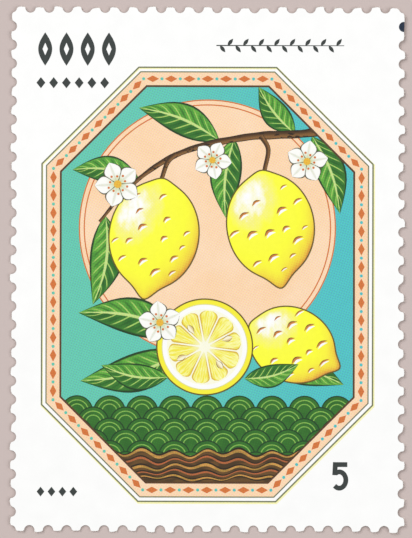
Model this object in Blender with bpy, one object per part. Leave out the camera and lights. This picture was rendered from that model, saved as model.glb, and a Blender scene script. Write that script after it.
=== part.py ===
"""A postage stamp: one perforated sheet of paper, gummed on the back.

The sheet lies flat on its gummed back, picture side up, as it would on a table. X runs across the
stamp, Y up it as it is read, and Z out of the picture side. The origin is the middle of the gummed
back. Blender 4.5, in metres.
"""

import random

import bmesh
import bpy
from mathutils import Matrix, Vector

MM = 0.001

# Driving dimensions
GAUGE = 13  # perforation holes in 20 mm
PITCH = 20 * MM / GAUGE
PITCHES_ACROSS = 21
PITCHES_UP = 28
HOLE_RADIUS = 0.43 * MM
PAPER_THICKNESS = 0.10 * MM

# How the teeth tore. A tooth's torn tip stands a little past the line through the hole centres,
# further on some sides than on others.
TEAR_SEED = 13
TEAR_MEAN = {"bottom": 0.08 * MM, "right": 0.05 * MM, "top": 0.02 * MM, "left": 0.02 * MM}
TEAR_SPREAD = 0.07 * MM  # from one tooth to the next
TEAR_SLANT = 0.05 * MM  # from one side of a tooth to the other
TIP_HALF_WIDTH = 0.36 * MM  # a little more than the paper left between two holes

# The perforator's pins
PIN_SIDES = 20
PIN_LENGTH = 10 * PAPER_THICKNESS
CLOSED_HOLE = ("right", PITCHES_UP - 1)  # this pin left the paper whole

WIDTH = PITCHES_ACROSS * PITCH
HEIGHT = PITCHES_UP * PITCH

# Each edge: its first corner, the way it runs, the way out of the sheet, and its pitches
EDGES = {
    "bottom": (Vector((-WIDTH, -HEIGHT, 0)) / 2, Vector((1, 0, 0)), Vector((0, -1, 0)), PITCHES_ACROSS),
    "right": (Vector((WIDTH, -HEIGHT, 0)) / 2, Vector((0, 1, 0)), Vector((1, 0, 0)), PITCHES_UP),
    "top": (Vector((WIDTH, HEIGHT, 0)) / 2, Vector((-1, 0, 0)), Vector((0, 1, 0)), PITCHES_ACROSS),
    "left": (Vector((-WIDTH, HEIGHT, 0)) / 2, Vector((0, -1, 0)), Vector((-1, 0, 0)), PITCHES_UP),
}


def clear_scene():
    for old in list(bpy.data.objects):
        bpy.data.objects.remove(old, do_unlink=True)


def new_collection(name):
    collection = bpy.data.collections.new(name)
    bpy.context.scene.collection.children.link(collection)
    return collection


def paper_material():
    """White coated stamp paper, matt with a faint sheen."""
    material = bpy.data.materials.new("coated_stamp_paper")
    material.use_nodes = True
    shader = material.node_tree.nodes["Principled BSDF"]
    shader.inputs["Base Color"].default_value = (0.93, 0.93, 0.91, 1.0)
    shader.inputs["Roughness"].default_value = 0.55
    shader.inputs["Metallic"].default_value = 0.0
    return material


def torn_outline():
    """The sheet's outline before the holes are punched: three points on each tooth's torn tip."""
    draw = random.Random(TEAR_SEED)
    points = []
    for name, (corner, along, outward, pitches) in EDGES.items():
        for tooth in range(pitches):
            middle = corner + along * PITCH * (tooth + 0.5)
            reach = TEAR_MEAN[name] + draw.uniform(-TEAR_SPREAD, TEAR_SPREAD)
            slant = draw.uniform(-TEAR_SLANT, TEAR_SLANT)
            peak = draw.uniform(-0.5, 0.5) * TIP_HALF_WIDTH
            points.append(middle - along * TIP_HALF_WIDTH + outward * (reach - slant))
            points.append(middle + along * peak + outward * (reach + abs(slant) / 2))
            points.append(middle + along * TIP_HALF_WIDTH + outward * (reach + slant))
    return points


def torn_sheet(collection, material):
    """The unpunched sheet: its outline as a filled flat curve, given the paper's thickness."""
    curve = bpy.data.curves.new("sheet_outline", "CURVE")
    curve.dimensions = "2D"
    curve.fill_mode = "BOTH"
    curve.extrude = PAPER_THICKNESS / 2
    outline = torn_outline()
    spline = curve.splines.new("POLY")
    spline.points.add(len(outline) - 1)
    for point, place in zip(spline.points, outline, strict=True):
        point.co = (place.x, place.y, 0, 1)
    spline.use_cyclic_u = True
    drawn = bpy.data.objects.new("sheet_outline", curve)
    collection.objects.link(drawn)

    view = bpy.context.evaluated_depsgraph_get()
    mesh = bpy.data.meshes.new_from_object(drawn.evaluated_get(view))
    bpy.data.objects.remove(drawn, do_unlink=True)
    shape = bmesh.new()
    shape.from_mesh(mesh)
    bmesh.ops.remove_doubles(shape, verts=shape.verts, dist=0.0001 * MM)
    bmesh.ops.translate(shape, verts=shape.verts, vec=(0, 0, PAPER_THICKNESS / 2))
    bmesh.ops.recalc_face_normals(shape, faces=shape.faces)
    shape.to_mesh(mesh)
    shape.free()
    mesh.name = "stamp_paper"
    mesh.materials.clear()
    mesh.materials.append(material)
    sheet = bpy.data.objects.new("stamp_paper", mesh)
    collection.objects.link(sheet)
    return sheet


def hole_centres():
    """Every hole the perforator punched: one at each pitch along each edge, corners included."""
    centres = []
    for name, (corner, along, _outward, pitches) in EDGES.items():
        for hole in range(pitches):
            if (name, hole) != CLOSED_HOLE:
                centres.append(corner + along * PITCH * hole)
    return centres


def perforating_pins(collection):
    """One round pin through the sheet at each hole centre."""
    mesh = bpy.data.meshes.new("perforating_pins")
    shape = bmesh.new()
    for centre in hole_centres():
        bmesh.ops.create_cone(
            shape,
            cap_ends=True,
            segments=PIN_SIDES,
            radius1=HOLE_RADIUS,
            radius2=HOLE_RADIUS,
            depth=PIN_LENGTH,
            matrix=Matrix.Translation(centre),
        )
    shape.to_mesh(mesh)
    shape.free()
    pins = bpy.data.objects.new("perforating_pins", mesh)
    pins.hide_render = True
    pins.display_type = "WIRE"
    collection.objects.link(pins)
    return pins


def main():
    clear_scene()
    parts = new_collection("postage_stamp")
    cutters = new_collection("cutters")
    sheet = torn_sheet(parts, paper_material())
    punch = sheet.modifiers.new("perforation", "BOOLEAN")
    punch.operation = "DIFFERENCE"
    punch.solver = "EXACT"
    punch.object = perforating_pins(cutters)


main()
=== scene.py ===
# %% [markdown]
# This notebook dresses one postage stamp: a perforated sheet of white paper, printed on the front and
# gummed on the back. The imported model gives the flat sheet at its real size, as a plain solid. All that
# makes it look like paper and printing ink is made here, and takes its sizes from that solid.

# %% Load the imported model
import math
import random

import bmesh
import bpy
from mathutils import Matrix, Vector


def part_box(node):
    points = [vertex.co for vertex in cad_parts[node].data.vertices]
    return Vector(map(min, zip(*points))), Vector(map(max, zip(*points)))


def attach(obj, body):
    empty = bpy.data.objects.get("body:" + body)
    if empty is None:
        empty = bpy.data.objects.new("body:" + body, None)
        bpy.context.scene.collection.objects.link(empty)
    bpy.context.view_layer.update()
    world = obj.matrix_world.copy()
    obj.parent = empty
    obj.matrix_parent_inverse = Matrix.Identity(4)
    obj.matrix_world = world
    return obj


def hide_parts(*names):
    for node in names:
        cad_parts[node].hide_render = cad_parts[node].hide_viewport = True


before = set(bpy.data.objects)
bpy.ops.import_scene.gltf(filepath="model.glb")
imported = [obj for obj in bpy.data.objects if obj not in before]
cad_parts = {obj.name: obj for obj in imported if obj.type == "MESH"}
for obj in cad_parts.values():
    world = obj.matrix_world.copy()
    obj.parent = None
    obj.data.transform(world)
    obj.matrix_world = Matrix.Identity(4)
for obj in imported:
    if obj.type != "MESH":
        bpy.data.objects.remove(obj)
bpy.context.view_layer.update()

print("nodes of the packed model:", list(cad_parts))

# %% [markdown]
# Stamps are perforated by gauge: the number of holes in 20 mm. The sheet is a whole number of hole
# pitches across and up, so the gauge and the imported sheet's box give every size. Blender works in
# metres, but print is planned in millimetres. So shapes are drawn in millimetres, where 0.43 is easy
# to picture, and a piece is scaled to metres when it is finished.

# %% Sizes, in millimetres
MM = 0.001
GAUGE = 13
PITCH = 20 / GAUGE
HOLE_RADIUS = 0.43

box_low, box_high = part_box("stamp_paper")
HOLES_ACROSS = round((box_high[0] - box_low[0]) / MM / PITCH)
HOLES_UP = round((box_high[1] - box_low[1]) / MM / PITCH)
THICKNESS = (box_high[2] - box_low[2]) / MM
WIDTH = HOLES_ACROSS * PITCH
HEIGHT = HOLES_UP * PITCH
print(f"sheet {WIDTH:.2f} x {HEIGHT:.2f} x {THICKNESS:.2f} mm, {HOLES_ACROSS} by {HOLES_UP} pitches")

# %% [markdown]
# The edge of a stamp is half punched and half torn. Pins leave clean half circles, and the bridges of
# paper between them tear when the stamp is pulled from its neighbours. Teeth copied from one another
# would look cast in metal, so each tooth's tip has its own reach and slant. They are drawn at random
# from a fixed seed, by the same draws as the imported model's, so these teeth are the same teeth.

# %% Where each tooth tears
TEAR_SEED = 13
TEAR_MEAN = {"bottom": 0.08, "right": 0.05, "top": 0.02, "left": 0.02}  # past the line of hole centres
TEAR_SPREAD = 0.07  # from one tooth to the next
TEAR_SLANT = 0.05  # from one side of a tooth to the other
TIP_HALF_WIDTH = 0.36  # a little more than the paper left between two holes

EDGES = {  # first corner, the way along, the way out of the sheet, pitches
    "bottom": (Vector((-WIDTH, -HEIGHT, 0)) / 2, Vector((1, 0, 0)), Vector((0, -1, 0)), HOLES_ACROSS),
    "right": (Vector((WIDTH, -HEIGHT, 0)) / 2, Vector((0, 1, 0)), Vector((1, 0, 0)), HOLES_UP),
    "top": (Vector((WIDTH, HEIGHT, 0)) / 2, Vector((-1, 0, 0)), Vector((0, 1, 0)), HOLES_ACROSS),
    "left": (Vector((-WIDTH, HEIGHT, 0)) / 2, Vector((0, -1, 0)), Vector((-1, 0, 0)), HOLES_UP),
}


def torn_tips():
    """For each tooth, the way out of the sheet and the three points that its tip is drawn from."""
    draw = random.Random(TEAR_SEED)
    tips = []
    for name, (corner, along, outward, pitches) in EDGES.items():
        for tooth in range(pitches):
            middle = corner + along * PITCH * (tooth + 0.5)
            reach = TEAR_MEAN[name] + draw.uniform(-TEAR_SPREAD, TEAR_SPREAD)
            slant = draw.uniform(-TEAR_SLANT, TEAR_SLANT)
            peak = draw.uniform(-0.5, 0.5) * TIP_HALF_WIDTH
            first = middle - along * TIP_HALF_WIDTH + outward * (reach - slant)
            second = middle + along * peak + outward * (reach + abs(slant) / 2)
            third = middle + along * TIP_HALF_WIDTH + outward * (reach + slant)
            tips.append((outward, (first, second, third)))
    return tips


TIPS = torn_tips()
print(len(TIPS), "teeth")

# %% [markdown]
# Torn paper has no straight edge. A rough material could darken the edge but not change its outline,
# so the outline itself is made ragged: points are added between a tooth's three, and each is moved in
# or out by a hair. Handling wears a tooth's corners first, so they are drawn back most. At one place
# a pin left the paper whole, and the two teeth beside it stay joined.

# %% The ragged outline
RAGGED_STEPS = 7  # points added between two of a tooth's three
RAGGED = 0.014
CORNER_WEAR = 0.10
CLOSED_HOLE = ("right", HOLES_UP - 1)

closed_corner, closed_along = EDGES[CLOSED_HOLE[0]][:2]
CLOSED_CENTRE = closed_corner + closed_along * PITCH * CLOSED_HOLE[1]


def ragged(tips):
    """The outline all round, with small steps in and out along each tip."""
    draw = random.Random(TEAR_SEED + 1)
    points = []
    for outward, (first, second, third) in tips:
        middle = (first + third) / 2
        tooth = [first]
        for start, end in ((first, second), (second, third)):
            for step in range(1, RAGGED_STEPS + 1):
                place = start.lerp(end, step / (RAGGED_STEPS + 1))
                tooth.append(place + outward * draw.uniform(-RAGGED, RAGGED))
            tooth.append(end)
        for place in tooth:
            sideways = min(1.0, (place - middle).length / TIP_HALF_WIDTH)
            joined = (place - CLOSED_CENTRE).length < PITCH / 2
            points.append(place if joined else place - outward * CORNER_WEAR * sideways**4)
    return points


OUTLINE = ragged(TIPS)
print(len(OUTLINE), "points in the outline before the holes are punched")

# %% [markdown]
# The sheet is made as a stamp is: a plain sheet, torn to its outline and punched. It could be one flat
# face with all the half circles drawn in its edge, but one face can't bend. So the plain sheet is a
# grid of cells, raised to the paper's thickness.

# %% The plain sheet
CELL = 1.5  # the sheet bends along lines this far apart


def solid_object(name, shape):
    """A plain object in millimetres, to cut with or to be cut."""
    bmesh.ops.recalc_face_normals(shape, faces=shape.faces)
    mesh = bpy.data.meshes.new(name)
    shape.to_mesh(mesh)
    shape.free()
    made = bpy.data.objects.new(name, mesh)
    bpy.context.scene.collection.objects.link(made)
    return made


def thick(shape, bottom, top):
    """Raises a flat shape's faces into a slab between two heights."""
    bmesh.ops.translate(shape, vec=(0, 0, bottom), verts=shape.verts)
    lifted = bmesh.ops.extrude_face_region(shape, geom=shape.faces[:])["geom"]
    new = [g for g in lifted if isinstance(g, bmesh.types.BMVert)]
    bmesh.ops.translate(shape, vec=(0, 0, top - bottom), verts=new)


def plain_sheet():
    shape = bmesh.new()
    across, up = math.ceil(WIDTH / 2 / CELL), math.ceil(HEIGHT / 2 / CELL)
    bmesh.ops.create_grid(shape, x_segments=2 * across, y_segments=2 * up, size=1)
    bmesh.ops.scale(shape, vec=(across * CELL, up * CELL, 1), verts=shape.verts)
    thick(shape, 0, THICKNESS)
    return solid_object("plain_sheet", shape)


uncut_sheet = plain_sheet()
print("plain sheet:", len(uncut_sheet.data.polygons), "faces")

# %% [markdown]
# Two tools cut the sheet: a block in the shape of the torn outline, and the perforator's pins. A flat
# outline could be projected on the sheet instead, but a solid cuts both of its faces at once. Both
# tools stand well out above and below, because a cut that ends right at a surface may fail.

# %% The outline and the pins
PIN_SIDES = 40
TOOL_HEIGHT = 10 * THICKNESS


def outline_cutter():
    shape = bmesh.new()
    shape.faces.new([shape.verts.new(point) for point in OUTLINE])
    thick(shape, -TOOL_HEIGHT, TOOL_HEIGHT)
    return solid_object("outline_cutter", shape)


def pins():
    """A round pin at every hole centre but the closed one."""
    shape = bmesh.new()
    for name, (corner, along, _outward, pitches) in EDGES.items():
        for hole in range(pitches):
            if (name, hole) != CLOSED_HOLE:
                bmesh.ops.create_cone(
                    shape,
                    cap_ends=True,
                    segments=PIN_SIDES,
                    radius1=HOLE_RADIUS,
                    radius2=HOLE_RADIUS,
                    depth=2 * TOOL_HEIGHT,
                    matrix=Matrix.Translation(corner + along * PITCH * hole),
                )
    return solid_object("pins", shape)


outline_tool, pin_tool = outline_cutter(), pins()
print("outline:", len(outline_tool.data.polygons), "faces, pins:", len(pin_tool.data.polygons))

# %% [markdown]
# Two Boolean modifiers do the cutting: one keeps what is inside the outline, and one takes away what
# is inside the pins. They could stay live on the sheet, but it still has to bend after it is cut. So
# the result is read back as a mesh, and the tools are thrown away.

# %% The perforated sheet
def cut(target, cutter, operation):
    modifier = target.modifiers.new(cutter.name, "BOOLEAN")
    modifier.operation = operation
    modifier.solver = "EXACT"
    modifier.object = cutter


cut(uncut_sheet, outline_tool, "INTERSECT")
cut(uncut_sheet, pin_tool, "DIFFERENCE")
flat_sheet = bmesh.new()
flat_sheet.from_object(uncut_sheet, bpy.context.evaluated_depsgraph_get())
for tool in (uncut_sheet, outline_tool, pin_tool):
    bpy.data.objects.remove(tool, do_unlink=True)
print("perforated sheet:", len(flat_sheet.faces), "faces")

# %% [markdown]
# A stamp rests on its middle. Its gum pulls a little as it dries, so the edges stand off the table by
# about a tenth of a millimetre. A bend modifier would do for the sheet alone, but every layer of the
# print has to bend with it, and two meshes cut differently would poke through each other. So one
# function gives the height at any place, and it runs straight between the lines of the cells. The
# layers are cut along the same lines later, and then all of them bend alike.

# %% How the sheet rests
FLAT_ACROSS, FLAT_UP = 4 * CELL, 6 * CELL  # the sheet touches the table this far out from its middle
EDGE_LIFT = {"right": 0.14, "left": 0.08, "top": 0.10, "bottom": 0.06}


def curl(distance, flat, reach, lift):
    """The sheet's height at a distance from its middle line."""

    def smooth(d):
        return lift * max(0.0, (d - flat) / (reach - flat)) ** 2

    line = math.floor(distance / CELL)
    share = distance / CELL - line
    return smooth(line * CELL) * (1 - share) + smooth((line + 1) * CELL) * share


def sheet_height(x, y):
    """The height of the sheet's underside at x, y."""
    across = curl(abs(x), FLAT_ACROSS, WIDTH / 2, EDGE_LIFT["right" if x > 0 else "left"])
    up = curl(abs(y), FLAT_UP, HEIGHT / 2, EDGE_LIFT["top" if y > 0 else "bottom"])
    return across + up


corners = [sheet_height(x, y) for x in (-WIDTH / 2, WIDTH / 2) for y in (-HEIGHT / 2, HEIGHT / 2)]
print(f"the corners stand {min(corners):.2f} to {max(corners):.2f} mm off the table")

# %% [markdown]
# Colours are written as sRGB hex values, the way a picture editor shows them. Blender's shaders work
# in linear light, where the same numbers would look too pale. Linear numbers could be typed in
# instead, but nobody can picture a colour from those. So one function turns them, with the numbers
# of the sRGB standard.

# %% Colours
def linear(hex_colour):
    """An sRGB hex colour such as "FCFCFA" as linear red, green, blue and alpha."""
    parts = [int(hex_colour[i : i + 2], 16) / 255 for i in (0, 2, 4)]
    return tuple(p / 12.92 if p <= 0.04045 else ((p + 0.055) / 1.055) ** 2.4 for p in parts) + (1.0,)


print("mid grey, hex 808080, in linear light:", round(linear("808080")[0], 3))

# %% [markdown]
# Every material is built from nodes. Added one by one, a few dozen nodes take hundreds of lines. The
# helper below adds a node, sets it up and links it in one call, and gives back its output, so that a
# chain of nodes reads like a formula.

# %% A helper that adds one node
MATH = "ShaderNodeMath"
VECTOR = "ShaderNodeVectorMath"
MIX = "ShaderNodeMix"  # two vectors go to its inputs 4 and 5, two colours to 6 and 7
NOISE = "ShaderNodeTexNoise"
COORDINATES = "ShaderNodeTexCoord"
MAP_RANGE = "ShaderNodeMapRange"


def add(tree, kind, inputs=None, output=0, stops=None, **settings):
    """Adds a node. inputs gives a value, or an output to link, for each input; stops fill a ramp."""
    made = tree.nodes.new(kind)
    for name, value in settings.items():
        setattr(made, name, value)
    for key, value in (inputs or {}).items():
        if isinstance(value, bpy.types.NodeSocket):
            tree.links.new(value, made.inputs[key])
        else:
            made.inputs[key].default_value = value
    for place, colour in stops or []:
        point = made.color_ramp.elements.new(place)
        point.color = linear(colour)
    if stops:
        made.color_ramp.elements.remove(made.color_ramp.elements[0])
        made.color_ramp.elements.remove(made.color_ramp.elements[-1])
    return made.outputs[output]


def new_material(name):
    """A new material, its node tree and its main shader."""
    material = bpy.data.materials.new(name)
    material.use_nodes = True
    return material, material.node_tree, material.node_tree.nodes["Principled BSDF"]


# A trial chain, thrown away again: noise made twice as strong
trial, trial_tree, _shader = new_material("trial")
add(trial_tree, MATH, {0: add(trial_tree, NOISE), 1: 2.0}, operation="MULTIPLY")
print("a new material with two added nodes:", [node.name for node in trial_tree.nodes])
bpy.data.materials.remove(trial)

# %% [markdown]
# Stamp paper has a thin coat of white clay, pressed smooth between rollers, which keeps the ink
# bright. Where the paper was punched and torn its bare fibres show, a little warmer and quite matt.
# A photograph of paper could be laid over them, but it would blur close to. Noise doesn't, so both are
# two close colours mixed by noise of a real size, with a finer noise for the grain of the surface.

# %% Coated paper and torn edge
PAPER_IOR = 1.5
GRAIN_SIZE = 0.09  # of the pressed surface, a little coarser than a real one so that it shows


def surface_grain(tree, size, height):
    """A bump, in metres, for grain of this size and height in millimetres."""
    place = add(tree, COORDINATES, output="Object")
    grain = add(tree, NOISE, {"Vector": place, "Scale": 1 / (size * MM), "Detail": 4.0})
    return add(tree, "ShaderNodeBump", {"Height": grain, "Distance": height * MM, "Strength": 1.0})


def paper(name, colours, cloud_size, roughness, grain):
    """Paper of two close colours in clouds of a size, with a grain of a size and height."""
    material, tree, shader = new_material(name)
    place = add(tree, COORDINATES, output="Object")
    cloud = add(tree, NOISE, {"Vector": place, "Scale": 1 / (cloud_size * MM), "Detail": 5.0})
    stops = [(0.3, colours[0]), (0.7, colours[1])]
    colour = add(tree, "ShaderNodeValToRGB", {"Fac": cloud}, stops=stops)
    tree.links.new(colour, shader.inputs["Base Color"])
    tree.links.new(surface_grain(tree, *grain), shader.inputs["Normal"])
    shader.inputs["Roughness"].default_value = roughness
    shader.inputs["IOR"].default_value = PAPER_IOR
    return material


# Clay under pressure: an even bright white with a faint sheen at a low angle
coated_paper = paper(
    "clay_coated_paper_calendered",
    ("FBFBFA", "FEFEFD"),
    cloud_size=1.6,
    roughness=0.52,
    grain=(GRAIN_SIZE, 0.0022),
)
# Loose fibres scatter all light, so the edge has no shine and looks warmer than the front
bare_fibre = paper(
    "bare_paper_fibre_torn",
    ("F0ECE2", "FAF7F0"),
    cloud_size=0.08,
    roughness=0.92,
    grain=(0.05, 0.012),
)
print("paper finishes:", coated_paper.name, "and", bare_fibre.name)

# %% [markdown]
# The back is covered with gum. A roller lays it on, which leaves faint bands up the sheet, and it
# dries cream, glossy and a little rippled. The bands are noise stretched along one axis by a Mapping
# node. Mixed with cloudier noise they choose between three creams, and they raise the ripples too. The
# ripples are far too low to change the outline, so a bump is enough.

# %% Gum
BAND_SIZE, BAND_STRETCH = 0.7, (1, 0.06, 1)
CLOUD_SIZE = 6
RIPPLE_SIZE, RIPPLE_HEIGHT = 0.9, 0.010
GUM_ROUGHNESS = (0.18, 0.36)
GUM_IOR = 1.47


def gum(name):
    material, tree, shader = new_material(name)
    place = add(tree, COORDINATES, output="Object")
    along_roller = add(tree, "ShaderNodeMapping", {"Vector": place, "Scale": BAND_STRETCH})
    bands = add(tree, NOISE, {"Vector": along_roller, "Scale": 1 / (BAND_SIZE * MM), "Detail": 4.0})
    cloud = add(tree, NOISE, {"Vector": place, "Scale": 1 / (CLOUD_SIZE * MM), "Detail": 3.0})
    half = add(tree, MATH, {0: bands, 1: 0.5}, operation="MULTIPLY")
    mixed = add(tree, MATH, {0: cloud, 1: 0.5, 2: half}, operation="MULTIPLY_ADD")
    stops = [(0.35, "F0E9D0"), (0.5, "F5F0DE"), (0.65, "F9F6EA")]
    colour = add(tree, "ShaderNodeValToRGB", {"Fac": mixed}, stops=stops)
    tree.links.new(colour, shader.inputs["Base Color"])
    ripple = add(tree, NOISE, {"Vector": place, "Scale": 1 / (RIPPLE_SIZE * MM), "Detail": 2.0})
    height = add(tree, MATH, {0: ripple, 1: bands}, operation="ADD")
    bump = {"Height": height, "Distance": RIPPLE_HEIGHT * MM, "Strength": 1.0}
    tree.links.new(add(tree, "ShaderNodeBump", bump), shader.inputs["Normal"])
    gloss = {"Value": cloud, "To Min": GUM_ROUGHNESS[0], "To Max": GUM_ROUGHNESS[1]}
    tree.links.new(add(tree, MAP_RANGE, gloss), shader.inputs["Roughness"])
    shader.inputs["IOR"].default_value = GUM_IOR
    return material


# A dried film: it mirrors a window softly, and its gloss comes and goes from place to place
dried_gum = gum("dried_gum_rolled_on")
print("gum:", len(dried_gum.node_tree.nodes), "nodes")

# %% [markdown]
# Three finishes now meet on one sheet. The faces for each could be picked by hand, but a face's own
# direction says which it wears: up is the coated front, down is the gum, and all that faces sideways
# was punched or torn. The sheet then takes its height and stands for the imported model's plain one.
# Every piece of the stamp is finished by the same function, which scales it and gives it to the body.

# %% The sheet as a piece
FRONT, BACK, EDGE = range(3)
SHARP_ANGLE = math.radians(30)


def finish_piece(name, shape, materials):
    """Turns a shape drawn in millimetres into a piece of the stamp."""
    bmesh.ops.scale(shape, vec=(MM, MM, MM), verts=shape.verts)
    mesh = bpy.data.meshes.new(name)
    shape.to_mesh(mesh)
    shape.free()
    for material in materials:
        mesh.materials.append(material)
    made = bpy.data.objects.new(name, mesh)
    bpy.context.scene.collection.objects.link(made)
    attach(made, "root")
    print(f"{name}: {len(mesh.polygons)} faces, {len(materials)} materials")
    return made


def stamp_sheet(shape):
    shape.normal_update()
    for face in shape.faces:
        face.material_index = {1: FRONT, -1: BACK, 0: EDGE}[round(face.normal.z)]
    for vertex in shape.verts:
        vertex.co.z += sheet_height(vertex.co.x, vertex.co.y)
    sheet = finish_piece("stamp_sheet", shape, [coated_paper, dried_gum, bare_fibre])
    sheet.data.shade_smooth()
    sheet.data.set_sharp_from_angle(angle=SHARP_ANGLE)
    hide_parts("stamp_paper")


stamp_sheet(flat_sheet)

# %% [markdown]
# Torn paper is never clean: short fibres stand out of every tooth. Hair particles could make them, but
# they would have to be turned into a mesh for the export. A slim three-sided cone is as good at this
# size. A fixed seed scatters them along the tips, well inside the paper's thickness and leaning at
# random.

# %% Fibres on the torn teeth
FIBRES_A_TOOTH = 9
FIBRE_LENGTH = (0.05, 0.16)
FIBRE_RADIUS = 0.011
FIBRE_ROOT = 0.02  # how deep it stands in the paper
FIBRE_LEAN, FIBRE_RISE = 0.6, 0.15  # how much they vary: to a side in radians, and up or down
FIBRE_HEIGHTS = (0.25, 0.75)  # shares of the paper's thickness


def torn_fibres():
    draw = random.Random(TEAR_SEED + 2)
    shape = bmesh.new()
    for outward, (first, second, third) in TIPS:
        for _ in range(FIBRES_A_TOOTH):
            start, end = draw.choice(((first, second), (second, third)))
            root = start.lerp(end, draw.random()) - outward * FIBRE_ROOT
            length = draw.uniform(*FIBRE_LENGTH)
            lean = Matrix.Rotation(draw.gauss(0, FIBRE_LEAN), 4, "Z")
            rise = draw.gauss(0, FIBRE_RISE)
            way = lean @ outward + Vector((0, 0, rise))
            root.z = THICKNESS * draw.uniform(*FIBRE_HEIGHTS) + sheet_height(root.x, root.y)
            turn = way.to_track_quat("Z", "Y").to_matrix().to_4x4()
            bmesh.ops.create_cone(
                shape,
                cap_ends=True,
                segments=3,
                radius1=FIBRE_RADIUS,
                radius2=FIBRE_RADIUS / 3,
                depth=length,
                matrix=Matrix.Translation(root + way.normalized() * length / 2) @ turn,
            )
    finish_piece("torn_fibres", shape, [bare_fibre])


torn_fibres()

# %% [markdown]
# The front is printed by offset litho. A press can't print a pale colour: it prints strong inks as
# dots that are smaller where the colour is paler, with one screen of dots for each ink, each turned to
# its own angle. Cyan ink takes away red light, magenta ink green light and yellow ink blue light. So
# the three screens can be worked out at once, as the red, green and blue parts of one vector, which
# takes a third of the nodes. A real screen has about 6 dots in a millimetre. Here it has 5, so that
# it just shows in the picture.

# %% Three screens of dots
DOT_PITCH = 0.20
SCREEN_DEGREES = (15, 75, 45)  # cyan, magenta, yellow


def screen_waves(group, split, for_x, for_y):
    """For each ink, a cosine wave across the sheet in one direction."""
    from_x = add(group, VECTOR, {0: for_x, "Scale": split.outputs["X"]}, operation="SCALE")
    from_y = add(group, VECTOR, {0: for_y, "Scale": split.outputs["Y"]}, operation="SCALE")
    across = add(group, VECTOR, {0: from_x, 1: from_y}, operation="ADD")
    return add(group, VECTOR, {0: across}, operation="COSINE")


def dot_screens(group, place):
    """For each ink, a smooth field: 1 in the middle of every dot and 0 half way between dots."""
    turns = 2 * math.pi / (DOT_PITCH * MM)
    cosines = [turns * math.cos(math.radians(a)) for a in SCREEN_DEGREES]
    sines = [turns * math.sin(math.radians(a)) for a in SCREEN_DEGREES]
    split = add(group, "ShaderNodeSeparateXYZ", {0: place}).node
    rows = screen_waves(group, split, cosines, sines)
    columns = screen_waves(group, split, [-s for s in sines], cosines)
    both = add(group, VECTOR, {0: rows, 1: columns}, operation="ADD")
    # Two cosines add up to between -2 and 2, so a quarter of that and a half is from 0 to 1
    return add(group, VECTOR, {0: both, 1: [0.25] * 3, 2: [0.5] * 3}, operation="MULTIPLY_ADD")


print("screens of", round(1 / DOT_PITCH), "dots to the millimetre at", SCREEN_DEGREES, "degrees")

# %% [markdown]
# A dot grows as its colour deepens. So the field is set against the colour: where the field is the
# higher there is ink, with a soft edge, because ink spreads in paper. The dots are then mixed weakly
# with the flat colour, as a scan of a stamp shows them, and a little unevenness stands for the way
# the paper takes the ink. All of it is one node group, which every ink shares.

# %% From flat colour to print, as a node group
DOT_SHARPNESS = 2.5
DOT_CONTRAST = 0.14
MOTTLE_SIZE = 0.35
MOTTLE = 0.09


def litho_screens():
    group = bpy.data.node_groups.new("litho_screens", "ShaderNodeTree")
    group.interface.new_socket("Paint", in_out="INPUT", socket_type="NodeSocketColor")
    group.interface.new_socket("Print", in_out="OUTPUT", socket_type="NodeSocketColor")
    paint = group.nodes.new("NodeGroupInput").outputs["Paint"]
    result = group.nodes.new("NodeGroupOutput").inputs["Print"]
    place = add(group, COORDINATES, output="Object")
    blotch = add(group, NOISE, {"Vector": place, "Scale": 1 / (MOTTLE_SIZE * MM), "Detail": 3.0})
    uneven = add(group, MATH, {0: blotch, 1: -MOTTLE, 2: 1 + MOTTLE / 2}, operation="MULTIPLY_ADD")
    paint = add(group, VECTOR, {0: paint, "Scale": uneven}, operation="SCALE")
    screens = dot_screens(group, place)
    ink = add(group, VECTOR, {0: screens, "Scale": -DOT_SHARPNESS}, operation="SCALE")
    dots = add(group, VECTOR, {0: paint, 1: [1 + DOT_SHARPNESS] * 3, 2: ink}, operation="MULTIPLY_ADD")
    dots = add(group, VECTOR, {0: dots, 1: [0.0] * 3}, operation="MAXIMUM")
    dots = add(group, VECTOR, {0: dots, 1: [1.0] * 3}, operation="MINIMUM")
    soft = add(group, MIX, {"Factor": DOT_CONTRAST, 4: paint, 5: dots}, output=1, data_type="VECTOR")
    group.links.new(soft, result)
    return group


LITHO = litho_screens()
print(LITHO.name, "has", len(LITHO.nodes), "nodes")

# %% [markdown]
# Printing ink dries to a thin film of oil that is smoother than the paper, so it shines a little more,
# while the paper's grain still shows through it. Every ink of the print is that film in another
# colour, so one function makes them all. It takes one flat colour, or a small function that paints
# with nodes, and passes it through the screens.

# %% Ink on coated paper
INK_ROUGHNESS = 0.38
INK_IOR = 1.50
INK_GRAIN_HEIGHT = 0.0012


def printed(name, paint):
    """A litho ink. paint is a hex colour, or a function that adds nodes and gives a colour output."""
    material, tree, shader = new_material(name)
    screens = add(tree, "ShaderNodeGroup", node_tree=LITHO).node
    if isinstance(paint, str):
        screens.inputs["Paint"].default_value = linear(paint)
    else:
        tree.links.new(paint(tree), screens.inputs["Paint"])
    tree.links.new(screens.outputs["Print"], shader.inputs["Base Color"])
    tree.links.new(surface_grain(tree, GRAIN_SIZE, INK_GRAIN_HEIGHT), shader.inputs["Normal"])
    shader.inputs["Roughness"].default_value = INK_ROUGHNESS
    shader.inputs["IOR"].default_value = INK_IOR
    return material


# A dull olive, so its thin lines stay quiet beside the picture
olive_line = printed("litho_ink_olive_line", "7A7F5E")
print("first ink:", olive_line.name)

# %% [markdown]
# The artist's paint comes before the printer's dots. It could be a painted picture, but nodes stay
# sharp at any distance and follow a shape when it moves. Two helpers do nearly all of it. One lays a
# colour over another where some value, such as the distance from a leaf's midrib, runs from one
# number to another. The other gives noise for the marks of a brush.

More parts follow.
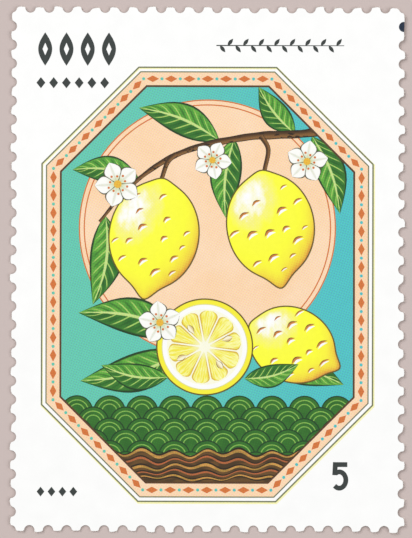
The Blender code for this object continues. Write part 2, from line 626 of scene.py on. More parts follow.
# %% Painting helpers
PEACH_CLOUD = 4.0  # size of the air-brush's clouds
BLUE_FROM, BLUE_TO = -10, 12  # across the sheet


def paint_over(tree, under, over, value, start, full, strength=1.0):
    """Lays a colour over another: none of it where value is at start, all of it where it is at full."""
    share = add(
        tree,
        MAP_RANGE,
        {"Value": value, "From Min": start, "From Max": full, "To Max": strength},
        interpolation_type="SMOOTHSTEP",
    )
    under, over = (linear(c) if isinstance(c, str) else c for c in (under, over))
    return add(tree, MIX, {"Factor": share, 6: under, 7: over}, output=2, data_type="RGBA")


def brush_marks(tree, size, stretch=(1, 1, 1)):
    """Noise of a size in millimetres. A stretch under 1 draws it out along that axis."""
    place = add(tree, COORDINATES, output="Object")
    place = add(tree, "ShaderNodeMapping", {"Vector": place, "Scale": stretch})
    return add(tree, NOISE, {"Vector": place, "Scale": 1 / (size * MM), "Detail": 3.0})


def peach_paint(tree):
    """Peach with the faint cloudiness of an air-brushed ground."""
    return paint_over(tree, "FCD9B9", "FBD3AE", brush_marks(tree, PEACH_CLOUD), 0.3, 0.7)


def turquoise_paint(tree):
    """Flat turquoise that turns a little bluer to the right."""
    place = add(tree, COORDINATES, output="Object")
    split = add(tree, "ShaderNodeSeparateXYZ", {0: place}).node
    return paint_over(tree, "68C6B1", "52C0C3", split.outputs["X"], BLUE_FROM * MM, BLUE_TO * MM)


# The grounds of the picture: pale inks, where the white paper glows through
peach_tint = printed("litho_ink_peach_tint", peach_paint)
turquoise_tint = printed("litho_ink_turquoise_tint", turquoise_paint)
print("grounds:", peach_tint.name, "and", turquoise_tint.name)

# %% [markdown]
# A printed shape could be part of one picture laid over the sheet, but its edges would blur close to.
# Here each shape is a real one: a flat drawing, a few thousandths of a millimetre above the paper. It
# is cut along the lines of the sheet's cells, and then it bends as the sheet does.

# %% Laying a drawing on the sheet
LAYER = 0.003  # from one printed layer up to the next, about as thick as a film of ink
ON_THE_CUT = 1e-5  # a corner nearer than this to a cut is on it, and isn't cut again


def drawing():
    """An empty flat drawing with a UV map."""
    shape = bmesh.new()
    shape.loops.layers.uv.new("paint")
    return shape


def cut_along_cells(shape):
    """Cuts a flat shape along every line of cells that crosses it."""
    for axis in (0, 1):
        reach = [v.co[axis] for v in shape.verts]
        for line in range(math.ceil(min(reach) / CELL), math.floor(max(reach) / CELL) + 1):
            point, normal = Vector(), Vector()
            point[axis], normal[axis] = line * CELL, 1
            everything = shape.verts[:] + shape.edges[:] + shape.faces[:]
            bmesh.ops.bisect_plane(
                shape, geom=everything, dist=ON_THE_CUT, plane_co=point, plane_no=normal
            )


def lay_on_sheet(shape, layer):
    """Turns a flat drawing face up, cuts it along the cells and lifts it to its layer of the print."""
    shape.normal_update()
    bmesh.ops.reverse_faces(shape, faces=[f for f in shape.faces if f.normal.z < 0])
    cut_along_cells(shape)
    for v in shape.verts:
        v.co.z += THICKNESS + layer * LAYER + sheet_height(v.co.x, v.co.y)


print(f"a printed layer is {LAYER * 1000:.0f} thousandths of a millimetre above the last")

# %% [markdown]
# A drawing in several inks could be one piece with several materials. But where two inks meet edge to
# edge they would blur into each other when the materials are baked to pictures. So each ink is a
# piece of its own, as each has its own plate in the press. Where no inks meet, one piece does.

# %% Printing a drawing
def print_layer(name, shape, layer, materials):
    """Prints a flat drawing as one piece."""
    lay_on_sheet(shape, layer)
    finish_piece(name, shape, materials)


def print_inks(name, shape, layer, inks):
    """Prints a flat drawing as one piece for each ink. Faces numbered past the last ink stay bare."""
    lay_on_sheet(shape, layer)
    for number, (word, material) in enumerate(inks.items()):
        plate = shape.copy()
        others = [f for f in plate.faces if f.material_index != number]
        bmesh.ops.delete(plate, geom=others, context="FACES")
        for face in plate.faces:
            face.material_index = 0
        finish_piece(f"{name}_{word}", plate, [material])
    shape.free()


print("inks mixed so far:", sum(m.name.startswith("litho_ink") for m in bpy.data.materials))

# %% [markdown]
# The picture stands in an eight-sided frame. Its corners could be listed one by one, but it is really a
# rectangle with its corners cut off, so a bevel makes it from a single face. Rings are then inset from
# its edge: a fine line, a bare gap, a second line, a pale band and a brown edge round the ground.

# %% The frame
FRAME_HALF, FRAME_TOP, FRAME_BOTTOM, FRAME_CUT = 13.7, 16.7, -19.2, 8.0
CUT_BY_INSET = 2 - math.sqrt(2)  # how much shorter the cut gets for each millimetre of inset
OLIVE, BAND, BROWN, GROUND, BARE = range(5)
BAND_WIDTH, BROWN_WIDTH = 1.05, 0.16
FRAME_RINGS = [(0.12, OLIVE), (0.26, BARE), (0.10, OLIVE), (BAND_WIDTH, BAND), (BROWN_WIDTH, BROWN)]
BORDER = sum(width for width, _ in FRAME_RINGS)


def octagon(shape, inset=0.0, shift=(0, 0), material=0):
    """Adds the frame's outline as one face: a rectangle with its corners cut off."""
    new = bmesh.ops.create_grid(shape, x_segments=1, y_segments=1, size=1, calc_uvs=True)["verts"]
    for vertex in new:
        vertex.co.x *= FRAME_HALF - inset
        vertex.co.y = FRAME_TOP - inset if vertex.co.y > 0 else FRAME_BOTTOM + inset
    bmesh.ops.bevel(
        shape,
        geom=new,
        affect="VERTICES",
        offset=FRAME_CUT - inset * CUT_BY_INSET,
        offset_type="OFFSET",
        segments=1,
        profile=0.5,
        material=-1,
    )
    bmesh.ops.translate(shape, vec=(*shift, 0), verts=shape.verts)
    shape.faces.ensure_lookup_table()
    shape.faces[-1].material_index = material
    return shape.faces[-1]


def rings(shape, faces, widths_and_materials):
    """Sinks rings into faces from the outside in, each with its own width and material."""
    for width, material in widths_and_materials:
        made = bmesh.ops.inset_individual(shape, faces=faces, thickness=width, use_even_offset=True)
        for face in made["faces"]:
            face.material_index = material


print(f"frame {2 * FRAME_HALF:.1f} x {FRAME_TOP - FRAME_BOTTOM:.1f} mm, border {BORDER:.2f} mm")

# %% [markdown]
# The plates of a press never meet quite exactly, so a hair of yellow shows along one side of the
# frame's outer line. The yellow is printed first, as a ring of its own moved a little down and to
# the right, and the frame over it.

# %% Yellow fringe and frame in print
FRINGE_WIDTH, FRINGE_OVERLAP, FRINGE_SHIFT = 0.16, 0.05, (0.05, -0.09)
FRINGE_PRINT, FRINGE_INSIDE = range(2)

# A pale yellow film, hardly more than a warm edge to the white
yellow_tint = printed("litho_ink_yellow_plate", "FBF7B8")
# A strong brown line, dark enough to hold the ground in
brown_line = printed("litho_ink_brown_line", "5B3B1C")

fringe = drawing()
inside = octagon(fringe, inset=-FRINGE_OVERLAP, shift=FRINGE_SHIFT, material=FRINGE_INSIDE)
rings(fringe, [inside], [(FRINGE_WIDTH, FRINGE_PRINT)])
print_inks("ink_yellow", fringe, layer=1, inks={"fringe": yellow_tint})

panel = drawing()
rings(panel, [octagon(panel, material=GROUND)], FRAME_RINGS)
frame_inks = {"lines": olive_line, "band": peach_tint, "edge": brown_line, "ground": turquoise_tint}
print_inks("ink_frame", panel, layer=2, inks=frame_inks)

# %% [markdown]
# The band has a plain chain of lozenges and dots, such as old borders have. An array along a curve
# would stretch them at the corners. A loop along each side spaces them evenly, with a dot at every
# corner. A lozenge is a disc with four sides, made slim.

# %% A chain of lozenges and dots
BAND_MIDDLE = BORDER - BROWN_WIDTH - BAND_WIDTH / 2
LOZENGE_STEP = 1.5
LOZENGE_RADIUS, LOZENGE_SQUASH, DOT_RADIUS = 0.27, 1.9, 0.13


def frame_sides(inset):
    """Each side of the frame moved inwards, counter-clockwise: its first corner and its last."""
    half, top, bottom = FRAME_HALF - inset, FRAME_TOP - inset, FRAME_BOTTOM + inset
    cut_off = FRAME_CUT - inset * CUT_BY_INSET
    corners = [
        Vector((half, bottom + cut_off)),
        Vector((half, top - cut_off)),
        Vector((half - cut_off, top)),
        Vector((cut_off - half, top)),
        Vector((-half, top - cut_off)),
        Vector((-half, bottom + cut_off)),
        Vector((cut_off - half, bottom)),
        Vector((half - cut_off, bottom)),
    ]
    return list(zip(corners, corners[1:] + corners[:1], strict=True))


def disc(shape, centre, radius, sides, step=0.0, material=0, turn=0.0, squash=1.0):
    """Adds a round face, or a lozenge with four sides. step lifts it by a share of a layer."""
    place = Matrix.Translation((*centre, step * LAYER)) @ Matrix.Rotation(turn, 4, "Z")
    place = place @ Matrix.Diagonal((squash, 1, 1, 1))
    new = bmesh.ops.create_circle(
        shape, cap_ends=True, segments=sides, radius=radius, matrix=place, calc_uvs=True
    )["verts"]
    face = new[0].link_faces[0]
    face.material_index = material
    return face


def border_chain():
    shape = drawing()
    for start, end in frame_sides(BAND_MIDDLE):
        along = end - start
        count = 2 * round(along.length / LOZENGE_STEP)
        turn = math.atan2(along.y, along.x)
        for i in range(count):
            place = start + along * (i / count)
            if i % 2:
                disc(shape, place, LOZENGE_RADIUS, sides=4, turn=turn, squash=LOZENGE_SQUASH)
            else:
                disc(shape, place, DOT_RADIUS, sides=16, material=1)
    return shape


# Magenta and yellow dots close together, which the eye mixes to a warm orange
orange_ink = printed("litho_ink_orange", "D2793A")
print_layer("ink_border_chain", border_chain(), layer=3, materials=[orange_ink, turquoise_tint])

# %% [markdown]
# Behind the fruit lies a big peach disc with two thin orange rings, a little wider than the frame's
# opening. A Boolean could trim it, but the frame's inside is convex. So one straight cut along each of
# its eight sides does it, and the same function trims everything else that passes the frame.

# %% The peach disc
DISC_CENTRE, DISC_RADIUS, DISC_SIDES = (0.0, 3.4), 10.6, 120
PEACH, ORANGE = range(2)
DISC_RINGS = [(0.10, ORANGE), (0.30, PEACH), (0.10, ORANGE)]


def clip_to_frame(shape):
    """Cuts away whatever a drawing has outside the frame's inner edge."""
    for start, end in frame_sides(BORDER):
        along = (end - start).normalized()
        bmesh.ops.bisect_plane(
            shape,
            geom=shape.verts[:] + shape.edges[:] + shape.faces[:],
            dist=ON_THE_CUT,
            plane_co=start.to_3d(),
            plane_no=(along.y, -along.x, 0),
            clear_outer=True,
        )


def round_disc():
    shape = drawing()
    rings(shape, [disc(shape, DISC_CENTRE, DISC_RADIUS, sides=DISC_SIDES)], DISC_RINGS)
    clip_to_frame(shape)
    return shape


print_inks("ink_disc", round_disc(), layer=3, inks={"peach": peach_tint, "lines": orange_ink})

# %% [markdown]
# Green scallops fill the lower part: a pattern as old as pottery, in which each row is laid over the
# one above. Only their tops show, and working out those shapes would be slow. Whole discs that overlap
# give the same picture, each row a fraction of a layer higher than the last. Rings inset in each disc
# are its dark edge and its pale lines.

# %% Scallops
SCALLOP_RADIUS, SCALLOP_ROWS, SCALLOP_STEP, SCALLOP_TOP = 1.34, 6, 0.92, -10.4
LEAFY, DARK_EDGE, PALE_LINE = range(3)
SCALLOP_RINGS = [
    (0.10, DARK_EDGE), (0.24, LEAFY), (0.09, PALE_LINE),
    (0.24, LEAFY), (0.09, PALE_LINE), (0.2, LEAFY),
]  # fmt: skip
ROW_LIFT = 0.4
GREEN_CLOUD = 1.2


def scallops():
    shape = drawing()
    across = math.ceil(FRAME_HALF / SCALLOP_RADIUS / 2) + 1
    for row in range(SCALLOP_ROWS):
        y = SCALLOP_TOP - SCALLOP_RADIUS - row * SCALLOP_STEP
        shift = SCALLOP_RADIUS * (row % 2)
        for i in range(-across, across + 1):
            centre = (2 * SCALLOP_RADIUS * i + shift, y)
            scallop = disc(shape, centre, SCALLOP_RADIUS, sides=32, step=ROW_LIFT * row)
            rings(shape, [scallop], SCALLOP_RINGS)
    clip_to_frame(shape)
    return shape


def green_paint(tree):
    return paint_over(tree, "337524", "296A20", brush_marks(tree, GREEN_CLOUD), 0.35, 0.65)


# Two solid inks, cyan over yellow: a deep green, with a darker edge and lines of paler green
deep_green = printed("litho_ink_deep_green", green_paint)
dark_green = printed("litho_ink_dark_green_line", "15401A")
light_green = printed("litho_ink_light_green_line", "86B552")
scallop_inks = {"leafy": deep_green, "edges": dark_green, "lines": light_green}
print_inks("ink_scallops", scallops(), layer=4, inks=scallop_inks)

# %% [markdown]
# At the foot are stripes that follow one wave, flatter towards the bottom. They could be ribbons, one
# for each stripe, but ribbons leave gaps or overlap. One grid with a row for each stripe can't: an
# operator makes it, and a formula bends it into place. It keeps the UV map that the operator gave it,
# and the map says which stripe a face is in.

# %% The shape of the waves
WAVE_TOP, WAVE_HEIGHT, WAVE_LENGTH = -15.0, 0.26, 2 * SCALLOP_RADIUS
WAVE_COLUMNS = 160
LEAST_WAVE = 0.35  # the share of the wave that is left at the foot
DRIFT_HEIGHT, DRIFT_ALONG, DRIFT_DOWN = 0.12, 0.9, 2.2  # a slow second wave, so that no two are alike
DARK_STRIPE, BROWN_STRIPE, OCHRE_STRIPE, RUSSET_STRIPE = range(4)
WAVE_STRIPES = [  # from the top down: width, ink
    (0.14, DARK_STRIPE), (0.20, OCHRE_STRIPE), (0.26, BROWN_STRIPE), (0.10, DARK_STRIPE),
    (0.14, RUSSET_STRIPE), (0.28, BROWN_STRIPE), (0.12, DARK_STRIPE), (0.18, OCHRE_STRIPE),
    (0.20, BROWN_STRIPE), (0.12, DARK_STRIPE), (0.12, RUSSET_STRIPE), (0.20, BROWN_STRIPE),
    (0.08, DARK_STRIPE), (0.12, OCHRE_STRIPE), (0.10, DARK_STRIPE), (0.80, BROWN_STRIPE),
]  # fmt: skip
WELD = 0.002  # corners nearer than this become one


def bent_grid(shape, columns, rows, place, step=0.0, material=0):
    """Adds a grid; place(u, v), with u and v from -1 to 1, says where each corner goes."""
    new = bmesh.ops.create_grid(
        shape, x_segments=columns, y_segments=rows, size=1, calc_uvs=True
    )["verts"]
    for face in {f for v in new for f in v.link_faces}:
        face.material_index = material
    for vertex in new:
        x, y = place(vertex.co.x, vertex.co.y)
        vertex.co = (x, y, step * LAYER)
    bmesh.ops.remove_doubles(shape, verts=new, dist=WELD)


def wave_stripes():
    shape = drawing()
    rows = len(WAVE_STRIPES)
    depths = [sum(width for width, _ in WAVE_STRIPES[:row]) for row in range(rows + 1)]

    def place(u, v):
        depth = depths[round((1 - v) / 2 * rows)]
        x = u * FRAME_HALF
        height = WAVE_HEIGHT * (LEAST_WAVE + (1 - LEAST_WAVE) * (1 - depth / depths[-1]))
        wave = height * math.cos(2 * math.pi * x / WAVE_LENGTH)
        drift = DRIFT_HEIGHT * math.sin(x * DRIFT_ALONG + depth * DRIFT_DOWN)
        return x, WAVE_TOP - depth + wave + drift

    bent_grid(shape, WAVE_COLUMNS, rows, place)
    uv_map = shape.loops.layers.uv.active
    for face in shape.faces:
        middle = sum(loop[uv_map].uv.y for loop in face.loops) / len(face.loops)
        face.material_index = WAVE_STRIPES[int((1 - middle) * rows)][1]
    clip_to_frame(shape)
    return shape


print(f"{len(WAVE_STRIPES)} stripes, {sum(width for width, _ in WAVE_STRIPES):.2f} mm from top to foot")

# %% [markdown]
# The stripes are in four earth colours. Flat ink alone would look like cut paper, so the broad brown
# and ochre ones get brush marks, drawn out along the stripe as a half dry brush leaves them. In the
# thin dark and russet ones no marks would show, so those are flat. The scallops took up two layers
# with their lifted rows. So the waves start past the highest row, as every drawing does that lies
# over another.

# %% Four earth colours
BROWN_STREAKS, OCHRE_STREAKS, ALONG_STRIPES = 0.5, 0.4, (0.3, 1, 1)


def brown_paint(tree):
    streaks = brush_marks(tree, BROWN_STREAKS, ALONG_STRIPES)
    return paint_over(tree, "4A3517", "6B4C22", streaks, 0.4, 0.6)


def ochre_paint(tree):
    streaks = brush_marks(tree, OCHRE_STREAKS, ALONG_STRIPES)
    return paint_over(tree, "A8843C", "C99A4E", streaks, 0.4, 0.6)


# Browns need all three inks at once, which makes them deep and a little dull
dark_brown = printed("litho_ink_dark_brown", "2A1C0C")
soil_brown = printed("litho_ink_brown", brown_paint)
ochre = printed("litho_ink_ochre", ochre_paint)
russet = printed("litho_ink_russet", "B0683A")
wave_inks = {"dark": dark_brown, "brown": soil_brown, "ochre": ochre, "russet": russet}
print_inks("ink_waves", wave_stripes(), layer=6.6, inks=wave_inks)

# %% [markdown]
# The main motif is a fruiting lemon branch. A leaf is the same bent grid: its length runs along one
# direction of the grid, and a sine across it makes it widest in the middle and closes it at both ends.
# A sideways sine bends it. An outline drawn by hand for each leaf would look as good, but this one
# carries a map that runs along and across the leaf, which its paint needs.

# %% The shape of a leaf
LEAF_LIFT = 0.35
LEAVES_BEHIND = [  # base x and y, angle in degrees, length, width, bend
    (7.2, 11.2, 128, 4.9, 2.2, 0.06),
    (1.0, 10.6, 158, 7.2, 2.7, -0.07),
    (8.6, 11.0, -70, 6.8, 2.5, 0.07),
    (-5.6, 7.4, 172, 5.6, 2.3, -0.08),
    (-8.4, 4.4, 262, 7.4, 2.8, 0.08),
    (2.2, 10.8, 264, 6.6, 2.6, -0.06),
    (-2.2, -5.4, 168, 8.6, 3.1, -0.08),
    (-2.0, -6.8, 196, 8.8, 3.2, 0.07),
    (5.2, -8.2, -12, 6.2, 2.5, 0.08),
]


def leaf_shape(
    shape, base, angle, length, width, bend=0.0, fullness=0.85, step=0.0, material=0, grid=(14, 6)
):
    """Adds a leaf or petal. fullness under 1 is widest near the base, over 1 near the tip."""
    along = Vector((math.cos(math.radians(angle)), math.sin(math.radians(angle))))
    across = along.orthogonal()

    def place(u, v):
        s = (u + 1) / 2
        half = width / 2 * math.sin(math.pi * s**fullness)
        sideways = bend * length * math.sin(math.pi * s) + half * v
        return Vector(base) + along * length * s + across * sideways

    bent_grid(shape, *grid, place, step, material)


def leaves(rows):
    shape = drawing()
    for i, (x, y, angle, length, width, bend) in enumerate(rows):
        leaf_shape(shape, (x, y), angle, length, width, bend, step=LEAF_LIFT * i)
    clip_to_frame(shape)
    return shape


print(len(LEAVES_BEHIND), "leaves behind the fruit")

# %% [markdown]
# A lemon leaf is glossy and dark, with a pale midrib, side veins that sweep forward, one half in light
# and one in shade. The veins could be thin shapes laid on each leaf. As distances read off the leaf's
# map they need no shapes and follow its bend: across it for the midrib and the outline, and along
# it, swept forward towards the rim, for the veins. A cosine of that distance has its crests on the
# veins and its hollows, where the leaf is darkest, half way between them.

# %% The paint of a leaf
VEIN_WAVES = 24.0  # radians over half the leaf's length, so there are 7 or 8 veins a side
VEIN_SWEEP = 0.42
HOLLOW_STRENGTH = 0.55
LEAF_CLOUD = 0.7


def paint_map(tree):
    """The two directions of the drawing's own map, from -1 to 1."""
    place = add(tree, "ShaderNodeUVMap", uv_map="paint")
    centred = add(tree, VECTOR, {0: place, 1: [2.0] * 3, 2: [-1.0] * 3}, operation="MULTIPLY_ADD")
    split = add(tree, "ShaderNodeSeparateXYZ", {0: centred}).node
    return split.outputs["X"], split.outputs["Y"]


def leaf_paint(tree):
    along, across = paint_map(tree)
    away = add(tree, MATH, {0: across}, operation="ABSOLUTE")
    cloud = brush_marks(tree, LEAF_CLOUD)
    light_half = paint_over(tree, "4E9A34", "67AE3E", cloud, 0.35, 0.65)
    dark_half = paint_over(tree, "2B6F23", "387F29", cloud, 0.35, 0.65)
    colour = paint_over(tree, light_half, dark_half, across, -0.12, 0.10)
    forward = add(tree, MATH, {0: away, 1: -VEIN_SWEEP, 2: along}, operation="MULTIPLY_ADD")
    wave = add(tree, MATH, {0: forward, 1: VEIN_WAVES}, operation="MULTIPLY")
    crest = add(tree, MATH, {0: wave}, operation="COSINE")
    short_of_rim = {"Value": away, "From Min": 0.92, "From Max": 0.55}
    inner = add(tree, MAP_RANGE, short_of_rim, interpolation_type="SMOOTHSTEP")
    faint = add(tree, MATH, {0: inner, 1: HOLLOW_STRENGTH}, operation="MULTIPLY")
    colour = paint_over(tree, colour, "A9CC6A", crest, 0.80, 0.97, strength=inner)
    colour = paint_over(tree, colour, "1E5A1E", crest, -0.55, -0.98, strength=faint)
    colour = paint_over(tree, colour, "C6DE8C", away, 0.11, 0.05)
    return paint_over(tree, colour, "163F19", away, 0.84, 0.92)


# Yellow and cyan dots in changing shares, so one ink runs from spring green to nearly black
leaf_green = printed("litho_ink_leaf_green", leaf_paint)
print_layer("ink_leaves_behind", leaves(LEAVES_BEHIND), layer=4, materials=[leaf_green])

# %% [markdown]
# The twig is one stroke along a smooth curve through a few points, and so is each stalk. A curve
# object with a bevel would be round and would have to be made a mesh, while the bent grid gives a flat
# stroke at once. Its width runs from thick to thin, and two sines that don't keep step make knots.

# %% A stroke along a smooth curve
TWIG = [(12.6, 12.6), (8.6, 11.3), (3.2, 10.9), (-2.2, 9.6), (-6.2, 7.0), (-8.9, 3.9)]
KNOT_WAVES = (23, 61)
GLANCE = 0.01  # how far along a path to look for its direction


def path_through(points):
    """A smooth curve through every one of the points, as a function from 0 to 1."""
    ends = [2 * Vector(points[0]) - Vector(points[1]), 2 * Vector(points[-1]) - Vector(points[-2])]
    knots = [ends[0]] + [Vector(p) for p in points] + [ends[1]]

    def at(t):
        spans = len(points) - 1
        span = min(int(t * spans), spans - 1)
        s = t * spans - span
        a, b, c, d = knots[span : span + 4]
        bend = (2 * a - 5 * b + 4 * c - d) * s**2 + (3 * (b - c) + d - a) * s**3
        return (2 * b + (c - a) * s + bend) / 2

    return at


def ribbon(shape, points, widths, columns=30, rows=4, step=0.0, knots=0.0):
    """Adds a stroke along a smooth path, which runs from one width to another."""
    at = path_through(points)

    def place(u, v):
        t = (u + 1) / 2
        direction = at(min(1, t + GLANCE)) - at(max(0, t - GLANCE))
        half = (widths[0] * (1 - t) + widths[1] * t) / 2
        half *= 1 + knots * math.sin(KNOT_WAVES[0] * t) * math.sin(KNOT_WAVES[1] * t)
        return at(t) + direction.orthogonal().normalized() * half * v

    bent_grid(shape, columns, rows, place, step)


print("half way along, the twig is at", [round(c, 1) for c in path_through(TWIG)(0.5)])

# %% [markdown]
# Young bark is dull, lit along its upper side, with dark marks that run along the twig. A picture of
# wood would have its grain at the wrong size. The stroke's own map says how far across it a place
# is, so the light, the shade and the outline follow every bend.

# %% Twig and stalks
TWIG_WIDTHS, TWIG_KNOTS = (0.85, 0.22), 0.12
STALKS = [
    [(4.4, 11.0), (5.0, 9.9), (4.7, 8.2)],
    [(-2.6, 9.5), (-3.3, 8.8), (-3.8, 7.4)],
]
STALK_WIDTHS, STALK_LIFT = (0.42, 0.34), 0.3
BARK_MARKS, ALONG_TWIG = 0.25, (0.4, 1, 1)


def twig_strokes():
    shape = drawing()
    ribbon(shape, TWIG, TWIG_WIDTHS, columns=60, knots=TWIG_KNOTS)
    for i, points in enumerate(STALKS):
        ribbon(shape, points, STALK_WIDTHS, columns=10, step=STALK_LIFT * (i + 1))
    clip_to_frame(shape)
    return shape


def bark_paint(tree):
    """Lit along its upper side, with dark marks along the twig and a dark outline."""
    _, across = paint_map(tree)
    away = add(tree, MATH, {0: across}, operation="ABSOLUTE")
    colour = paint_over(tree, "8A6233", "4B3114", across, 0.5, -0.6)
    marks = brush_marks(tree, BARK_MARKS, ALONG_TWIG)
    colour = paint_over(tree, colour, "2E1D0B", marks, 0.58, 0.62)
    return paint_over(tree, colour, "2A1A0A", away, 0.72, 0.86)


# Young bark in three inks: a dull brown that is nearly black at its edges
bark = printed("litho_ink_bark", bark_paint)
print_layer("ink_twig", twig_strokes(), layer=7.2, materials=[bark])

# %% [markdown]
# A lemon is an ellipse with a nipple at one end and a small shoulder at the stalk. Its outline could
# be drawn point by point for each fruit. Here a formula moves the corners of a round face and adds
# both ends as narrow hills, so one function hangs a lemon of any size at any tilt. The face is poked
# at the end: its middle joins to every corner, and its map then spreads evenly.

# %% The shape of a lemon
LEMONS = [  # centre x and y, tilt in degrees, half length, half width
    (7.0, -6.2, 64, 3.7, 3.1),
    (-4.4, 2.8, -9, 4.5, 3.75),
    (5.2, 3.6, 10, 4.4, 3.65),
]
NIPPLE, SHOULDER, NIPPLE_WIDTH = 0.20, 0.20 / 3, 0.24  # heights in half lengths, width in radians
LEMON_SIDES = 96
LEMON_LINE = 0.11
SKIN, SKIN_LINE = range(2)
LEMON_LIFT = 0.4


def hill(angle, top):
    """A smooth hill of height 1 round an angle."""
    return math.exp(-((math.remainder(angle - top, 2 * math.pi) / NIPPLE_WIDTH) ** 2))


def lemon_shape(shape, x, y, tilt, half_length, half_width, step):
    face = disc(shape, (0, 0), 1, sides=LEMON_SIDES, step=step, material=SKIN)
    turn = math.radians(tilt)
    for vertex in face.verts:
        angle = math.atan2(vertex.co.y, vertex.co.x) - turn
        own = Vector((half_width * math.cos(angle), half_length * math.sin(angle)))
        ends = SHOULDER * hill(angle, math.pi / 2) - NIPPLE * hill(angle, -math.pi / 2)
        own.y += half_length * ends
        own.rotate(Matrix.Rotation(turn, 2))
        vertex.co.x, vertex.co.y = x + own.x, y + own.y
    rings(shape, [face], [(LEMON_LINE, SKIN_LINE)])
    return face


def lemons():
    shape = drawing()
    faces = [lemon_shape(shape, *row, step=LEMON_LIFT * i) for i, row in enumerate(LEMONS)]
    bmesh.ops.poke(shape, faces=faces)
    return shape


print(len(LEMONS), "lemons of", LEMON_SIDES, "sides")

# %% [markdown]
# A ripe lemon is waxy: pale where the light strikes it, pure yellow over most of it and ochre at the
# far rim. A ramp across it would look flat. The paint treats the fruit's map as a ball seen from in
# front, and asks how squarely the light meets it there. The map is kept square to the stamp, not to
# the fruit, so the light comes from the upper left on every fruit, however it hangs.

# %% The paint of a lemon
LIGHT = [-0.48, 0.52, 0.70]  # the way to the light: left, up and towards the viewer
MARK_SIZE, MARK_STRETCH, MARK_STRENGTH = 0.45, (1, 0.5, 1), 0.22
DIRECT_LIGHT, EVEN_LIGHT = 0.6, 0.4
LEMON_STOPS = [
    (0.00, "C98A38"),
    (0.09, "E0AC3E"),
    (0.24, "F2D53E"),
    (0.42, "FAF23C"),
    (0.58, "FDFE38"),
    (0.84, "FDFE42"),
    (0.93, "F9F489"),
    (1.00, "F9F4BC"),
]


def lemon_paint(tree):
    x, y = paint_map(tree)
    flat = add(tree, "ShaderNodeCombineXYZ", {0: x, 1: y})
    squared = add(tree, VECTOR, {0: flat, 1: flat}, output=1, operation="DOT_PRODUCT")
    depth = add(tree, MATH, {0: 1.0, 1: squared}, operation="SUBTRACT")
    depth = add(tree, MATH, {0: depth, 1: 0.0}, operation="MAXIMUM")
    depth = add(tree, MATH, {0: depth}, operation="SQRT")
    ball = add(tree, "ShaderNodeCombineXYZ", {0: x, 1: y, 2: depth})
    light = add(tree, VECTOR, {0: ball, 1: LIGHT}, output=1, operation="DOT_PRODUCT")
    marks = brush_marks(tree, MARK_SIZE, MARK_STRETCH)
    brush = {0: marks, 1: MARK_STRENGTH, 2: -MARK_STRENGTH / 2}
    brush = add(tree, MATH, brush, operation="MULTIPLY_ADD")
    light = add(tree, MATH, {0: light, 1: brush}, operation="ADD")
    light = add(tree, MATH, {0: light, 1: DIRECT_LIGHT, 2: EVEN_LIGHT}, operation="MULTIPLY_ADD")
    return add(tree, "ShaderNodeValToRGB", {"Fac": light}, stops=LEMON_STOPS)


# Solid yellow ink, the brightest of the three, with only a few magenta dots towards the rim
lemon_yellow = printed("litho_ink_lemon_yellow", lemon_paint)
# A soft dark line, drawn in all three inks
lemon_line = printed("litho_ink_olive_brown_line", "6A5A1E")
print_inks("ink_lemons", lemons(), layer=8.2, inks={"skin": lemon_yellow, "lines": lemon_line})

# %% [markdown]
# A lemon's skin is dimpled. Noise would pit it all over, but an artist draws a few dimples, each as
# two thin crescents: an orange-brown one for its shaded side and a white one for its lit side. A
# seeded draw scatters them over the ball, and one that would fall too near another is drawn again.
# Nearer the rim they are slimmer, because the skin turns away there.

# %% Dimples in the skin
DIMPLES_A_LEMON = 15
DIMPLE_GAP = 1.15
DIMPLE_LENGTH = (0.65, 1.15)
DIMPLE_REACH = 0.86  # of the way to the rim
DIMPLE_SEED = 31
DIMPLE_ANGLE = 35  # the shaded side of every dimple faces the light, which is at the upper left
DIMPLE_BEND = 0.20
CRESCENTS = [(1.0, 0.30, 0.0), (0.86, 0.24, 0.20)]  # length, width and drop, as shares of the dimple's
CRESCENT_LIFT = 0.3


def dimple(shape, place, length, slim):
    """An orange-brown crescent and a white one under it, both hollow towards the lower right."""
    turn = math.radians(DIMPLE_ANGLE)
    along, down = Vector((math.cos(turn), math.sin(turn))), Vector((math.sin(turn), -math.cos(turn)))
    for material, (share, width, drop) in enumerate(CRESCENTS):
        start = place - along * length * share / 2 + down * drop * length * slim
        size = (length * share, width * length * slim, DIMPLE_BEND * slim)
        lift = CRESCENT_LIFT * material
        style = {"fullness": 1.0, "step": lift, "material": material, "grid": (8, 2)}
        leaf_shape(shape, start, DIMPLE_ANGLE, *size, **style)


def dimples():
    draw = random.Random(DIMPLE_SEED)
    shape = drawing()
    for x, y, tilt, half_length, half_width in LEMONS:
        turn = Matrix.Rotation(math.radians(tilt), 2)
        taken = []
        while len(taken) < DIMPLES_A_LEMON:
            away, around = DIMPLE_REACH * math.sqrt(draw.random()), draw.uniform(0, 2 * math.pi)
            length = draw.uniform(*DIMPLE_LENGTH)
            spot = Vector((half_width * math.cos(around), half_length * math.sin(around))) * away
            place = Vector((x, y)) + turn @ spot
            if all((place - other).length > DIMPLE_GAP for other in taken):
                taken.append(place)
                dimple(shape, place, length, math.sqrt(1 - away * away))
    return shape


def dimple_paint(tree):
    _, across = paint_map(tree)
    return paint_over(tree, "D08A3C", "7A4A1E", across, -0.2, 0.9)


# Magenta dots close up over the yellow: a shadow that is brown on one side and orange on the other
dimple_ink = printed("litho_ink_orange_brown", dimple_paint)
print_layer("ink_dimples", dimples(), layer=9.6, materials=[dimple_ink, coated_paper])

# %% [markdown]
# In front lies a round slice. From the outside in it has a line, a thin yellow rind, a pale shadow, the
# white pith and a cream core. Discs laid on one another would do, but rings inset from one disc lie in
# one plane. The pith is bare, as a printer leaves it: paper is the brightest white a stamp has.

